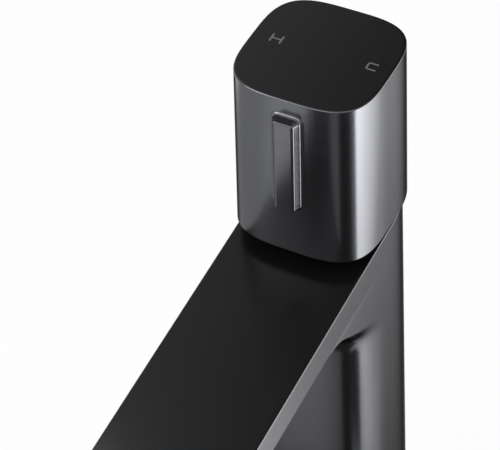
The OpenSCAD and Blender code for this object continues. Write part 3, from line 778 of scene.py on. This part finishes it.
def build_body():
    """Hollow foot, column, arch, spout and plate recess as one skin, with the neck on it."""
    foot = [(x, y) for x, y, _ in column_ring(0, EDGE)]
    rim = spout_ring(BODY_TOP, RIM)
    plan = [(x, y) for x, y, _ in rim]
    floor = BODY_TOP - PLATE_T - PLATE_SINK
    hollow = [
        circle_like(foot, HOLLOW_CENTRE_R, HOLLOW_Z),
        circle_like(foot, HOLLOW_R, HOLLOW_Z),
        circle_like(foot, HOLLOW_R, BLOCK_TOP),
        circle_like(foot, FOOT_R, BLOCK_TOP),
        circle_like(foot, FOOT_R, 0),
        circle_like(foot, GASKET_IN, 0),
        circle_like(foot, GASKET_IN, GASKET_H),
        circle_like(foot, GASKET_OUT, GASKET_H),
        circle_like(foot, GASKET_OUT, 0),
    ]
    lower = hollow + column_rings()
    recess = [rim, lifted(plan, floor, 1), circle_like(plan, NECK_BASE_R, floor, 1)]
    verts, faces = bridge(lower + spout_rings() + recess)

    # between the arch's last ring and the spout's first, the underside takes the place of quads
    n = len(foot)
    first = 2 * len(ANGLES) + SIDE_NEAR - 1
    last = 4 * len(ANGLES) + SIDE_NEAR + 2 * SIDE_FAR
    arch = (len(lower) - 1) * n
    spout = arch + n
    faces = [f for f in faces if not (arch + first <= f[0] < arch + last)]
    places = range(first, last + 1)
    fill_underside(verts, faces, [spout + j for j in places] + [arch + j for j in reversed(places)])
    add_neck(verts, faces, floor)
    piece = make_piece("body_skin", verts, faces, "tap_body", "gunmetal")
    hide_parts("body_casting")
    return piece


# plates and marks

def handle_plate_outline(inset):
    return rounded_square(HANDLE_HALF_TOP - RIM - PLATE_CLEAR - inset)


def spout_plate_outline(inset):
    return [(x, y) for x, y, _ in spout_ring(BODY_TOP, RIM + PLATE_CLEAR + inset)]


def build_plate(name, node, body, outline_at, z, lean, hole=None):
    """A black plate with a finely broken upper edge. outline_at gives its outline, drawn in by a
    distance."""
    top = z - PLATE_SHY
    rings = [lifted(outline_at(0), z - PLATE_T, lean)]
    for inset, rise in reversed(round_steps(PLATE_EDGE, PLATE_EDGE_STEPS)):
        rings.append(lifted(outline_at(inset), top - rise, lean))
    rings.append(lifted(outline_at(PLATE_FIELD), top, lean))
    if hole is None:
        verts, faces = bridge(rings)
        n = len(rings[0])
        cap(verts, faces, 0, n)
        cap(verts, faces, len(rings) * n - n, n)
    else:
        edge = outline_at(0)
        lower = circle_like(edge, hole, z - PLATE_T, lean)
        upper = circle_like(edge, hole, top, lean)
        verts, faces = bridge([lower, *rings, upper], close=True)
    piece = make_piece(name, verts, faces, body, "black_plate")
    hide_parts(node)
    return piece


def letter_h():
    """The outline of the H, whose second half is the first half turned round."""
    w, h, bar = H_WIDTH / 2, H_HEIGHT / 2, H_BAR / 2
    inner = w - H_STROKE
    half = [(inner, -bar), (inner, -h), (w, -h), (w, h), (inner, h), (inner, bar)]
    return half + [(-x, -y) for x, y in half]


def letter_c():
    """The outline of the C, with rounded corners at its back."""
    reach = C_WIDTH / 2

    def bent(inset):
        arm, radius = C_HALF - inset, C_ROUND - inset
        out = [(reach, arm)]
        for middle_y, first in ((C_HALF - C_ROUND, 90), (C_ROUND - C_HALF, 180)):
            for k in range(C_STEPS + 1):
                a = math.radians(first + 90 * k / C_STEPS)
                x = C_ROUND - reach + radius * math.cos(a)
                out.append((x, middle_y + radius * math.sin(a)))
        return out + [(reach, -arm)]

    return bent(0.0) + list(reversed(bent(C_STROKE)))


def build_marks():
    """The plain H and C, set into the handle's plate."""
    top = OVERALL_H - PLATE_SINK
    verts, faces = [], []
    for letter, middle in ((letter_h(), H_MIDDLE), (letter_c(), C_MIDDLE)):
        start, n = len(verts), len(letter)
        for z in (top - MARK_T, top):
            verts += [(x + middle, y + MARK_Y, z) for x, y in letter]
        lower = range(start, start + n)
        upper = range(start + n, start + 2 * n)
        faces += [tuple(reversed(lower)), tuple(upper)]
        for i in range(n):
            k = (i + 1) % n
            faces.append((lower[i], lower[k], upper[k], upper[i]))
    piece = make_piece("marks_print", verts, faces, "handle", "grey_mark", 30)
    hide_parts("direction_marks")
    return piece


build_handle()
build_body()
build_marks()
build_plate(
    "handle_plate_skin", "handle_top_plate", "handle", handle_plate_outline,
    OVERALL_H - PLATE_SINK, 0,
)
build_plate(
    "spout_plate_skin", "spout_top_plate", "tap_body", spout_plate_outline,
    BODY_TOP - PLATE_SINK, 1, NECK_BASE_R + PLATE_CLEAR,
)


# studio, in m

GROUND_Z = -0.0625
CARD_Z = GROUND_Z + 0.001
FLOOR_HALF, GROUND_HALF = 12, 0.6
GROUND_CARD_LIFT, FOOT_CARD_LIFT = 0.0004, 0.0008
# share of the floor's own glow, and strength of the white world for rays that only light
FLOOR_GLOW, WORLD_LIGHT = 0.93, 0.55
# what the two area lights aim at, and the level of the dark cards and of the painted shade round
# the foot
LIGHT_AIM, DARK = (0, 0, 0.08), 0.05

# light panel at the right: level at its front end, level far behind, and growth with height
PANEL_X, PANEL_Y, PANEL_TOP = 0.18, (-0.056, 0.24), 0.17
PANEL_PEAK, PANEL_REST, PANEL_FALL, PANEL_RISE, PANEL_RISE_END = 3.65, 1.5, 7.0, 6.0, 1.5

# the ground in the tap's reflections, with painted shade of the tap and painted light on it. Each
# ramp holds its two ends and the levels there.
BEHIND = (-0.26, 0.10, 1.0, 0.46)
FRONT_RIGHT_X, FRONT_RIGHT_Y = (-0.07, 0.08, 0.0, 0.5), (-0.09, -0.05, 1.0, 0.0)
RIGHT_BACK_X, RIGHT_BACK_Y = (0.03, 0.05, 0.0, 1.0), (0.02, 0.07, 0.0, 1.0)
SHADE_X, SHADE_LOW, SHADE_RISE, SHADE_RISE_END = 0.055, 0.27, 4.7, 0.5
PATCH_Y, PATCH_SPREAD, PATCH_X = 0.014, (0.0, 0.03, 0.055, 0.065), (0.055, 0.142, 0.0, 1.45)
SPOT_X, SPOT_Y, SPOT_SPREAD, SPOT_LEVEL = -0.135, -0.295, 0.035, 1.4

# soft light over the spout. GLOW_U and GLOW_V are ramps along and up its card.
GLOW_WAY = Vector((-0.342, -0.618, 0.708)).normalized()
GLOW_MIDDLE = Vector((0, -0.038, 0.138)) + GLOW_WAY * 0.12
GLOW_BAND, GLOW_LEFT = (-0.0215, -0.0175, 0.0, 1.0), (-0.004, 0.006, 1.0, 0.0)
GLOW_U, GLOW_V = (-0.02, 0.03, 8.0, 5.2), (-0.012, 0.004, 1.0, 0.6)
SECOND_GROWTH, SECOND_AT, SECOND_V = 60.0, 1.5, (-0.068, -0.038, 1.0, 0.0)

# what the plates mirror towards the camera: level in the middle, growth aside and up, and ends
BACK_WAY = Vector((-0.342, 0.618, 0.708)).normalized()
BACK_MIDDLE = Vector((0, 0, 0.19)) + BACK_WAY * 0.6
BACK_AT, BACK_ASIDE, BACK_UP, BACK_LOW, BACK_HIGH = 0.29, 2.29, -1.28, 0.06, 0.6


def seen_rays(tree):
    """1 for camera, glossy and transmission rays."""
    path = tree.nodes.new("ShaderNodeLightPath")
    total = Value(tree, path.outputs["Is Camera Ray"])
    for name in ("Is Glossy Ray", "Is Transmission Ray"):
        total = total.at_least(Value(tree, path.outputs[name]))
    return total


def stage_mesh(name, corners, material):
    mesh = bpy.data.meshes.new(name)
    mesh.from_pydata(corners, [], [(0, 1, 2, 3)])
    mesh.materials.append(material)
    obj = bpy.data.objects.new(name, mesh)
    scene.collection.objects.link(obj)
    return obj


def square(half, z):
    return [(-half, -half, z), (half, -half, z), (half, half, z), (-half, half, z)]


def add_floor():
    """A pale floor that looks white to the camera and in reflections."""
    material, tree, bsdf = new_material("pale_floor")
    grain = noise(tree, 40.0)
    tint(grain, (0.80, 0.80, 0.80), (0.84, 0.84, 0.84)).feed(bsdf.inputs["Base Color"])
    bsdf.inputs["Roughness"].default_value = 0.9
    bsdf.inputs["Specular IOR Level"].default_value = 0.0
    glow = tree.nodes.new("ShaderNodeEmission")
    blend = tree.nodes.new("ShaderNodeMixShader")
    (seen_rays(tree) * FLOOR_GLOW).feed(blend.inputs["Fac"])
    tree.links.new(bsdf.outputs[0], blend.inputs[1])
    tree.links.new(glow.outputs[0], blend.inputs[2])
    tree.links.new(blend.outputs[0], tree.nodes["Material Output"].inputs["Surface"])
    stage_mesh("floor", square(FLOOR_HALF, GROUND_Z), material)


def add_world():
    """A white world that lights less than it shows."""
    world = bpy.data.worlds.new("studio")
    scene.world = world
    world.use_nodes = True
    background = world.node_tree.nodes["Background"]
    background.inputs["Color"].default_value = (1, 1, 1, 1)
    strength = seen_rays(world.node_tree).ramp(0.0, 1.0, WORLD_LIGHT, 1.0, "LINEAR")
    strength.feed(background.inputs["Strength"])


def card(name, corners, level):
    """A studio card or light panel that shows only in the tap's reflections. level is its
    brightness, as a number or as a function of the place on it."""
    material, tree, bsdf = new_material(name)
    tree.nodes.remove(bsdf)
    glow = tree.nodes.new("ShaderNodeEmission")
    if callable(level):
        level(place_in(tree)).feed(glow.inputs["Strength"])
    else:
        glow.inputs["Strength"].default_value = level
    tree.links.new(glow.outputs[0], tree.nodes["Material Output"].inputs["Surface"])
    obj = stage_mesh(name, corners, material)
    obj.visible_camera = False
    obj.visible_diffuse = False
    obj.visible_shadow = False
    obj.visible_transmission = False
    obj.visible_volume_scatter = False
    return obj


def upright(name, p, q, top, level):
    """An upright card over the ground line from p to q."""
    return card(name, [(*p, CARD_Z), (*q, CARD_Z), (*q, top), (*p, top)], level)


def card_axes(way):
    """The two axes of a card that is square to a way."""
    across = Vector((0, 0, 1)).cross(way).normalized()
    return across, way.cross(across)


def facing(name, way, middle, half_wide, half_high, level, aside=0.0, rise=0.0):
    """A card square to a way, moved aside and up from its middle in its own plane."""
    across, up = card_axes(way)
    middle = middle + across * aside + up * rise
    signs = ((-1, -1), (1, -1), (1, 1), (-1, 1))
    corners = [middle + across * half_wide * i + up * half_high * j for i, j in signs]
    return card(name, [tuple(corner) for corner in corners], level)


def distance_along(place, axis, middle):
    """How far a place lies from middle along an axis."""
    total = -axis.dot(middle)
    for coordinate, factor in zip(place, axis):
        total = coordinate * factor + total
    return total


def panel_level(place):
    """Brightest at the front end and higher up, falling off towards the back."""
    _, y, z = place
    bright = exponential(y * -PANEL_FALL) * PANEL_PEAK + PANEL_REST
    return bright * (z * PANEL_RISE + 1.0).at_most(PANEL_RISE_END)


def ground_level(place):
    """White in front and greyer behind. Near the tap it is darker with painted shade of the tap;
    beside the panel it holds a painted pool of light, and in front on the left a painted bright
    spot.
    """
    x, y, _ = place
    front_right = x.ramp(*FRONT_RIGHT_X) * y.ramp(*FRONT_RIGHT_Y)
    level = y.ramp(*BEHIND) * (1.0 - front_right)
    # behind on the right it grows brighter away from the tap: painted shade of the tap close to it
    shade = ((x - SHADE_X) * SHADE_RISE).at_least(0.0).at_most(SHADE_RISE_END) + SHADE_LOW
    right_back = x.ramp(*RIGHT_BACK_X) * y.ramp(*RIGHT_BACK_Y)
    level = level * (1.0 - right_back) + shade * right_back
    # painted light: a pool beside the panel and a bright spot in front on the left
    patch = y.bell(PATCH_Y, y.ramp(*PATCH_SPREAD)) * x.ramp(*PATCH_X)
    spot = x.bell(SPOT_X, SPOT_SPREAD) * y.bell(SPOT_Y, SPOT_SPREAD)
    return level + patch + spot * SPOT_LEVEL


def glow_level(place):
    """Light that the spout's plate mirrors into the handle's front: a bright lower band, a bright
    left part, and a second light that grows upwards above a dark band."""
    across, up = card_axes(GLOW_WAY)
    u = distance_along(place, across, GLOW_MIDDLE)
    v = distance_along(place, up, GLOW_MIDDLE)
    left = u.ramp(*GLOW_LEFT)
    lit = v.ramp(*GLOW_BAND).at_least(left) * u.ramp(*GLOW_U) * v.ramp(*GLOW_V)
    second = (u * SECOND_GROWTH + SECOND_AT) * v.ramp(*SECOND_V) * (1.0 - left)
    return lit + second


def back_level(place):
    """Changes evenly aside and upwards between two ends."""
    across, up = card_axes(BACK_WAY)
    u = distance_along(place, across, BACK_MIDDLE)
    v = distance_along(place, up, BACK_MIDDLE)
    return (u * BACK_ASIDE + v * BACK_UP + BACK_AT).at_least(BACK_LOW).at_most(BACK_HIGH)


def area_light(name, place, size, power):
    """A square light that aims at the column and never shows itself."""
    data = bpy.data.lights.new(name, "AREA")
    data.shape = "SQUARE"
    data.size = size
    data.energy = power
    obj = bpy.data.objects.new(name, data)
    obj.location = place
    aim = Vector(LIGHT_AIM) - Vector(place)
    obj.rotation_euler = aim.to_track_quat("-Z", "Y").to_euler()
    obj.visible_camera = False
    obj.visible_glossy = False
    scene.collection.objects.link(obj)
    return obj


add_floor()
add_world()
# the ground as the tap's reflections show it, with painted shade of the tap and painted light
card("ground_card", square(GROUND_HALF, GROUND_Z + GROUND_CARD_LIFT), ground_level)
# painted shade round the tap's foot: a dim card that only the tap's reflections show
foot_outline = [(-0.10, -0.095), (0.115, -0.115), (0.07, 0.02), (-0.10, 0.02)]
card("foot_shade_card", [(x, y, GROUND_Z + FOOT_CARD_LIFT) for x, y in foot_outline], DARK)
upright("right_panel", (PANEL_X, PANEL_Y[0]), (PANEL_X, PANEL_Y[1]), PANEL_TOP, panel_level)
# dark cards at the front right
upright("front_card", (0.066, -0.125), (0.120, -0.075), 0.14, DARK)
upright("low_card", (0.110, -0.078), (0.112, -0.022), 0.03, DARK)
# a panel and a dark card for the sides that the photo doesn't show
upright("left_panel", (-0.36, -0.06), (-0.30, 0.20), 0.16, 2.4)
upright("rear_card", (-0.10, 0.38), (0.08, 0.40), 0.16, 0.12)
facing("front_glow", GLOW_WAY, GLOW_MIDDLE, 0.085, 0.0485, glow_level, 0.027, -0.0135)
facing("back_card", BACK_WAY, BACK_MIDDLE, 0.75, 0.45, back_level)
area_light("key", (-0.5, -0.93, 1.2), 1.1, 14)
area_light("fill", (0.9, 0.3, 0.9), 1.0, 5)


# camera

# how it looks down on the tap, in degrees
CAMERA_AZIMUTH, CAMERA_ELEVATION, CAMERA_ROLL = 29.076, 45.472, 3.133
# how far right, down and ahead of it the middle of the handle's top lies, in mm
TOP_RIGHT, TOP_DOWN, TOP_AHEAD = 20.969, -50.927, 572.862
# focal length and width of the photo in pixels, and Blender's sensor in mm
FOCAL_PIXELS, PHOTO_PIXELS, SENSOR_MM = 1922.503, 500, 36


def add_camera():
    azimuth, elevation, roll = (
        math.radians(a) for a in (CAMERA_AZIMUTH, CAMERA_ELEVATION, CAMERA_ROLL)
    )
    flat_forward = Vector((-math.sin(azimuth), math.cos(azimuth), 0))
    forward = math.cos(elevation) * flat_forward - math.sin(elevation) * Vector((0, 0, 1))
    level = Vector((math.cos(azimuth), math.sin(azimuth), 0))
    plumb = forward.cross(level)
    right = math.cos(roll) * level + math.sin(roll) * plumb
    down = -math.sin(roll) * level + math.cos(roll) * plumb
    handle_top = Vector((0, 0, OVERALL_H))
    spot = handle_top - (TOP_RIGHT * right + TOP_DOWN * down + TOP_AHEAD * forward)
    data = bpy.data.cameras.new("camera")
    data.sensor_width = SENSOR_MM
    data.lens = FOCAL_PIXELS * SENSOR_MM / PHOTO_PIXELS
    data.clip_start = 0.01
    data.clip_end = 100
    camera = bpy.data.objects.new("camera", data)
    axes = Matrix((right, -down, -forward)).transposed()
    camera.matrix_world = Matrix.Translation(spot * MM) @ axes.to_4x4()
    scene.collection.objects.link(camera)
    return camera


bpy.context.scene.camera = add_camera()
scene.view_settings.view_transform = "Standard"
